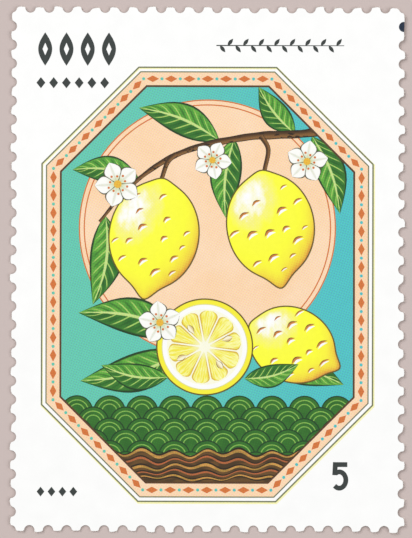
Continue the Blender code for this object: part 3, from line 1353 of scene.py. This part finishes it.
# %% The cut slice
SLICE_CENTRE, SLICE_RADIUS = Vector((-0.2, -6.4)), 4.0
LINE, RIND, SHADE, PITH, CORE = range(5)
SLICE_RINGS = [(0.11, LINE), (0.34, RIND), (0.07, SHADE), (0.36, PITH), (0.06, CORE)]


def round_slice():
    shape = drawing()
    rings(shape, [disc(shape, SLICE_CENTRE, SLICE_RADIUS, sides=96, material=CORE)], SLICE_RINGS)
    return shape


# Flat yellow for the rind, and two tints so thin that they only warm the paper
rind = printed("litho_ink_rind_yellow", "F8EE3A")
pith_shade = printed("litho_ink_pale_olive", "DEDB92")
cream = printed("litho_ink_cream", "FCFBE2")
slice_inks = {
    "line": lemon_line,
    "rind": rind,
    "shade": pith_shade,
    "pith": coated_paper,
    "core": cream,
}
print_inks("ink_slice", round_slice(), layer=10.6, inks=slice_inks)

# %% [markdown]
# Each segment is a wedge with round corners: a grid bent round the slice's centre, which stops short
# of its neighbours by the width of the skin between them. A wedge from a circle would be quicker, but
# its corners would be sharp. The grid's map runs outwards, so the juice cells can be noise drawn
# out along it. The noise also drifts with the place on the stamp, so no two segments are alike.

# %% Segments
SEGMENTS, SEGMENT_START, SEGMENT_SKIN = 10, 0.45, 0.16
SEGMENT_TURN = 0.3  # of a segment
FLESH_GAP = 0.06  # between the core's edge and the flesh
FLESH_RADIUS = SLICE_RADIUS - sum(width for width, _ in SLICE_RINGS) - FLESH_GAP
OUTER_ROUND, OUTER_DEPTH = 0.18, 0.86  # the share of the length that the rounding takes, and its depth
INNER_ROUND, INNER_DEPTH = 0.10, 0.7
LEAST_HALF = 0.03  # half the width that a segment keeps at its narrow end
SEGMENT_GRID = (22, 8)
JUICE_ALONG, JUICE_ACROSS, JUICE_DRIFT = 1.4, 5.0, 150.0  # how fast the noise changes each way


def segment(shape, angle):
    reach = FLESH_RADIUS - SEGMENT_START

    def place(u, v):
        s = (u + 1) / 2
        outer = max(0.0, (s - 1 + OUTER_ROUND) / OUTER_ROUND)
        inner = max(0.0, (INNER_ROUND - s) / INNER_ROUND)
        rounding = math.sqrt(1 - outer**2 * OUTER_DEPTH) * math.sqrt(1 - inner**2 * INNER_DEPTH)
        distance = SEGMENT_START + reach * s
        half = distance * math.tan(math.pi / SEGMENTS) - SEGMENT_SKIN / 2
        corner = Vector((distance, 0))
        corner.rotate(Matrix.Rotation(angle + max(LEAST_HALF, half) * rounding * v / distance, 2))
        return SLICE_CENTRE + corner

    bent_grid(shape, *SEGMENT_GRID, place)


def segments():
    shape = drawing()
    for i in range(SEGMENTS):
        segment(shape, 2 * math.pi * (i + SEGMENT_TURN) / SEGMENTS)
    return shape


def flesh_paint(tree):
    along, across = paint_map(tree)
    away = add(tree, MATH, {0: across}, operation="ABSOLUTE")
    place = add(tree, COORDINATES, output="Object")
    where = add(tree, "ShaderNodeSeparateXYZ", {0: place}).node
    drift = add(tree, MATH, {0: where.outputs["X"], 1: JUICE_DRIFT}, operation="MULTIPLY")
    long_way = add(tree, MATH, {0: along, 1: JUICE_ALONG}, operation="MULTIPLY")
    short_way = add(tree, MATH, {0: across, 1: JUICE_ACROSS}, operation="MULTIPLY")
    stretched = add(tree, "ShaderNodeCombineXYZ", {0: long_way, 1: short_way, 2: drift})
    juice = add(tree, NOISE, {"Vector": stretched, "Scale": 1.0, "Detail": 2.0})
    colour = paint_over(tree, "F3E64A", "FDFBA6", juice, 0.36, 0.64)
    colour = paint_over(tree, colour, "D9B93A", away, 0.74, 0.90)
    return paint_over(tree, colour, "F6F2B4", along, -0.4, -1.0)


# Yellow ink in all its strengths, so the flesh looks wet and lit from behind
flesh = printed("litho_ink_flesh_yellow", flesh_paint)
print_layer("ink_slice_segments", segments(), layer=11.2, materials=[flesh])

# %% [markdown]
# A few seeds lie in the flesh. A lemon's seed is a pale drop, pointed towards the centre, and that is a
# small leaf that is widest near its tip. So the leaf's function makes it, with other numbers.

# %% Seeds
SEEDS = [(20, 1.5), (128, 1.35), (205, 1.6), (310, 1.4)]  # angle in degrees, distance from the centre
SEED_LENGTH, SEED_WIDTH = 0.95, 0.5


def seeds():
    shape = drawing()
    for angle, distance in SEEDS:
        turn = math.radians(angle)
        base = SLICE_CENTRE + Vector((math.cos(turn), math.sin(turn))) * distance
        leaf_shape(shape, base, angle, SEED_LENGTH, SEED_WIDTH, fullness=1.2, grid=(10, 4))
    return shape


def seed_paint(tree):
    _, across = paint_map(tree)
    away = add(tree, MATH, {0: across}, operation="ABSOLUTE")
    colour = paint_over(tree, "FBF3D2", "DCC68C", across, 0.1, -0.6)
    return paint_over(tree, colour, "8A6A32", away, 0.70, 0.85)


# A cream tint with a thin brown rim: it looks hard and dry in the wet flesh
seed_ink = printed("litho_ink_seed", seed_paint)
print_layer("ink_slice_seeds", seeds(), layer=11.8, materials=[seed_ink])

# %% [markdown]
# Two more leaves lie in front of the slice, and white blossoms sit on the twig and by the slice. A
# petal is the leaf's shape again, widest near its tip. White petals are nearly bare paper, so the
# paint adds only what an artist would: grey green in the hollow, a crease and a thin outline.

# %% Front leaves and petals
LEAVES_IN_FRONT = [  # as for the leaves behind
    (-3.2, -8.9, 170, 5.6, 2.2, 0.08),
    (3.1, -9.0, 15, 4.6, 1.9, -0.08),
]
BLOSSOMS = [  # centre x and y, petal length, turn in degrees
    (8.2, 8.9, 1.75, 10),
    (-7.4, 7.0, 1.9, 40),
    (0.4, 9.0, 1.6, 65),
    (-3.9, -4.4, 1.8, 25),
]
PETALS = 5
PETAL_WIDTH, PETAL_FULLNESS, PETAL_LIFT = 0.82, 1.35, 0.25


def petals():
    shape = drawing()
    for x, y, length, turn in BLOSSOMS:
        for i in range(PETALS):
            angle, step = turn + 360 / PETALS * i, PETAL_LIFT * i
            width = PETAL_WIDTH * length
            leaf_shape(
                shape, (x, y), angle, length, width, fullness=PETAL_FULLNESS, step=step, grid=(12, 6)
            )
    return shape


def petal_paint(tree):
    along, across = paint_map(tree)
    away = add(tree, MATH, {0: across}, operation="ABSOLUTE")
    colour = paint_over(tree, "FDFDF8", "CBD6A4", along, 0.1, -0.9)
    colour = paint_over(tree, colour, "C8CDAE", away, 0.22, 0.04, strength=0.5)
    return paint_over(tree, colour, "4C4A2C", away, 0.83, 0.93)


# Hardly any ink: the paper's own white, with dots only where the petal bends away
petal_ink = printed("litho_ink_petal_shade", petal_paint)
print_layer("ink_leaves_in_front", leaves(LEAVES_IN_FRONT), layer=12.4, materials=[leaf_green])
print_layer("ink_petals", petals(), layer=13.2, materials=[petal_ink])

# %% [markdown]
# A ring of stamens with orange heads stands round a golden middle. At this size they are dots, so
# small discs do, placed by a loop, near and far in turn.

# %% Stamens
PISTIL_RADIUS = 0.17  # of the petal's length
STAMENS, STAMEN_RADIUS = 10, 0.10
STAMEN_REACH = (0.42, 0.34)  # of the petal's length, in turn
STAMEN_LIFT = 0.2


def stamens():
    shape = drawing()
    for x, y, length, turn in BLOSSOMS:
        disc(shape, (x, y), PISTIL_RADIUS * length, sides=20, material=1)
        for i in range(STAMENS):
            angle = math.radians(turn + 360 / STAMENS * (i + 0.5))
            away = length * STAMEN_REACH[i % 2]
            place = (x + away * math.cos(angle), y + away * math.sin(angle))
            disc(shape, place, STAMEN_RADIUS, sides=10, step=STAMEN_LIFT)
    return shape


# Yellow with a little magenta: a warm gold among the orange
golden = printed("litho_ink_golden", "E8B83C")
print_layer("ink_stamens", stamens(), layer=14.6, materials=[orange_ink, golden])

# %% [markdown]
# The margin holds rows of plain slate ornaments: the frame's lozenges and the branch's leaf shapes
# again, small and in one ink. They could be placed one by one, but a row made by a loop needs only a
# start, a count and a spacing. A white lozenge on each tall leaf stands for a hole in it.

# %% Ornaments in the margin
TALL_ROW = {"x": -13.4, "y": 16.75, "count": 4, "spacing": 1.75}
TALL_LENGTH, TALL_WIDTH = 2.75, 1.15
TALL_HOLE, TALL_HOLE_SQUASH, TALL_HOLE_LIFT = 0.52, 0.42, 0.3
MARGIN_SQUASH = 0.8
LOZENGE_ROWS = [
    {"x": -13.75, "y": 15.35, "count": 6, "spacing": 1.05, "radius": 0.46},
    {"x": -13.7, "y": -18.35, "count": 4, "spacing": 0.9, "radius": 0.40},
]
SPRIG = {"x": 1.0, "y": 18.45, "count": 16, "spacing": 0.64}
SPRIG_LEAF = {"length": 0.72, "width": 0.30, "fullness": 0.9, "step": 0.2, "grid": (10, 2)}
SPRIG_ANGLE, SPRIG_STEM, SPRIG_TAIL = 52, (0.09, 0.06), 0.3


def places(row):
    """The places along a row."""
    return [(row["x"] + i * row["spacing"], row["y"]) for i in range(row["count"])]


def margin_ornaments():
    shape = drawing()
    for x, y in places(TALL_ROW):
        leaf_shape(shape, (x, y), 90, TALL_LENGTH, TALL_WIDTH, fullness=1.0, grid=(20, 2))
        middle = (x, y + TALL_LENGTH / 2)
        hole = {"step": TALL_HOLE_LIFT, "material": 1, "squash": TALL_HOLE_SQUASH}
        disc(shape, middle, TALL_HOLE, sides=4, **hole)
    for row in LOZENGE_ROWS:
        for place in places(row):
            disc(shape, place, row["radius"], sides=4, squash=MARGIN_SQUASH)
    for i, place in enumerate(places(SPRIG)):
        leaf_shape(shape, place, SPRIG_ANGLE if i % 2 else -SPRIG_ANGLE, **SPRIG_LEAF)
    first, last = SPRIG["x"] - SPRIG_TAIL, SPRIG["x"] + SPRIG["count"] * SPRIG["spacing"]
    ribbon(shape, [(first, SPRIG["y"]), (last, SPRIG["y"])], SPRIG_STEM, rows=1)
    return shape


# Near black with a cast of green, softer on white paper than pure black
slate = printed("litho_ink_slate", "373E3C")
print_layer("ink_margin_ornaments", margin_ornaments(), layer=1, materials=[slate, coated_paper])

# %% [markdown]
# A stamp states its value, so a plain numeral stands in the lower corner. A font would bring curves
# that have to be made a mesh, and its own look. Three strokes of one width are enough: a bar, a short
# stem and a bowl that follows an ellipse from the foot of the stem.

# %% The numeral
NUMERAL_CENTRE, NUMERAL_STROKE, NUMERAL_LIFT = Vector((11.0, -17.05)), (0.40, 0.40), 0.2
NUMERAL_BAR = [(-0.42, 0.98), (0.58, 0.98)]
NUMERAL_STEM = [(-0.40, 1.18), (-0.457, 0.108)]
BOWL_CENTRE, BOWL_HALF_WIDTH, BOWL_HALF_HEIGHT = Vector((-0.08, -0.29)), 0.54, 0.67
BOWL_ANGLES = [math.radians(a) for a in range(125, -136, -20)]


def bowl_points():
    """The middle line of the numeral's bowl: most of an ellipse, clockwise from the stem's foot."""
    reach = [(BOWL_HALF_WIDTH * math.cos(a), BOWL_HALF_HEIGHT * math.sin(a)) for a in BOWL_ANGLES]
    return [BOWL_CENTRE + Vector(r) for r in reach]


def numeral():
    shape = drawing()
    for i, points in enumerate((NUMERAL_BAR, NUMERAL_STEM, bowl_points())):
        placed = [NUMERAL_CENTRE + Vector(p) for p in points]
        ribbon(shape, placed, NUMERAL_STROKE, columns=44, rows=1, step=NUMERAL_LIFT * i)
    return shape


print_layer("ink_numeral", numeral(), layer=1, materials=[slate])

# %% [markdown]
# Where the pin left the paper whole, a spot of dark blue ink marks where the hole should be. It is half
# a disc. The torn edge is ragged, but between the two points nearest the closed hole it is straight, so
# one cut along that line ends the spot exactly at the paper's edge.

# %% Blue ink on the closed hole
SPOT_RADIUS = 0.42
SPOT_CLOUD = 0.2


def blue_spot():
    shape = drawing()
    below, above = sorted(OUTLINE, key=lambda point: (point - CLOSED_CENTRE).length)[:2]
    edge = above - below if above.y > below.y else below - above
    disc(shape, CLOSED_CENTRE.xy, SPOT_RADIUS, sides=32)
    bmesh.ops.bisect_plane(
        shape,
        geom=shape.verts[:] + shape.edges[:] + shape.faces[:],
        plane_co=below,
        plane_no=(edge.y, -edge.x, 0),
        clear_outer=True,
    )
    return shape


def spot_paint(tree):
    return paint_over(tree, "0B1C30", "152C44", brush_marks(tree, SPOT_CLOUD), 0.35, 0.6)


# A thick dab of dark blue that lies unevenly, so it looks put on by hand
blue_ink = printed("litho_ink_dark_blue_spot", spot_paint)
print_layer("ink_blue_spot", blue_spot(), layer=1, materials=[blue_ink])

# %% [markdown]
# The stamp lies on a plain table, painted a pale warm grey. On white the stamp's own white edge would
# be lost, and a dark table would hide the soft shadow under it. The table is one flat face, a hair
# below the stamp, so that the two surfaces never share a place.

# %% Table
FLOOR_SIZE = 1.2  # metres
FLOOR_GAP = 0.01 * MM


def studio_floor():
    bpy.ops.mesh.primitive_plane_add(size=FLOOR_SIZE, location=(0, 0, -FLOOR_GAP))
    floor = bpy.context.object
    floor.name = "studio_floor"
    # Matt wall paint: hardly a reflection, only a soft shadow under the stamp's edge
    material, _tree, shader = new_material("studio_floor_paint")
    shader.inputs["Base Color"].default_value = linear("C9BAB6")
    shader.inputs["Roughness"].default_value = 0.8
    floor.data.materials.append(material)
    return floor


table = studio_floor()
print(f"{table.name}: {table.dimensions.x:.1f} x {table.dimensions.y:.1f} m")

# %% [markdown]
# A small lamp would put a glare on the ink that hides the print, so the stamp is lit softly. One large
# square light at the upper left gives the teeth a side in shade, a weaker one at the right fills the
# shade, and an even white sky does the rest. The view transform is Standard, because the others grey
# the paper's white.

# %% Light
SOFTBOXES = [  # name, place and side in metres, power in watts
    ("key", (-0.35, 0.30, 0.55), 0.45, 3.1),
    ("fill", (0.45, -0.10, 0.50), 0.45, 1.75),
]
SKY_STRENGTH = 0.35


def softbox(name, location, side, watts):
    """A square light that faces the stamp."""
    data = bpy.data.lights.new(name, "AREA")
    data.shape = "SQUARE"
    data.size = side
    data.energy = watts
    lamp = bpy.data.objects.new(name, data)
    lamp.location = location
    lamp.rotation_euler = (-Vector(location)).to_track_quat("-Z", "Y").to_euler()
    bpy.context.scene.collection.objects.link(lamp)


for box in SOFTBOXES:
    softbox(*box)
world = bpy.data.worlds.new("studio")
world.use_nodes = True
sky = world.node_tree.nodes["Background"]
sky.inputs["Color"].default_value = (1, 1, 1, 1)
sky.inputs["Strength"].default_value = SKY_STRENGTH
bpy.context.scene.world = world
bpy.context.scene.view_settings.view_transform = "Standard"
print(len(SOFTBOXES), "softboxes and a white sky")

# %% [markdown]
# The camera looks straight down, as a scanner does. A long lens from far away keeps the stamp free of
# perspective, as an orthographic camera would, but it also works from the side. Its height, place and
# small turn put the stamp where the photograph has it: they come from the photograph's scale, the
# pixel at the stamp's centre and the tilt of its edges.

# %% Camera
PIXELS_PER_MM = 12.13
PHOTO_WIDE, PHOTO_TALL = 412, 538
STAMP_CENTRE_PX = (207.3, 269.3)
PHOTO_TURN = math.radians(0.14)
LENS, SENSOR = 200, 36
CLIP_START = 0.005


def photo_camera():
    data = bpy.data.cameras.new("photo_camera")
    data.lens = LENS
    data.sensor_width = SENSOR
    data.clip_start = CLIP_START
    data.dof.use_dof = False
    camera = bpy.data.objects.new("photo_camera", data)
    tall = PHOTO_TALL / PIXELS_PER_MM * MM
    right = (PHOTO_WIDE / 2 - STAMP_CENTRE_PX[0]) / PIXELS_PER_MM * MM
    up = (STAMP_CENTRE_PX[1] - PHOTO_TALL / 2) / PIXELS_PER_MM * MM
    camera.location = (right, up, THICKNESS * MM + tall * LENS / SENSOR)
    camera.rotation_euler = (0, 0, PHOTO_TURN)
    bpy.context.scene.collection.objects.link(camera)
    bpy.context.scene.camera = camera
    return camera


camera = photo_camera()
print(f"{camera.name}: {camera.location.z / MM:.0f} mm above the stamp's back")
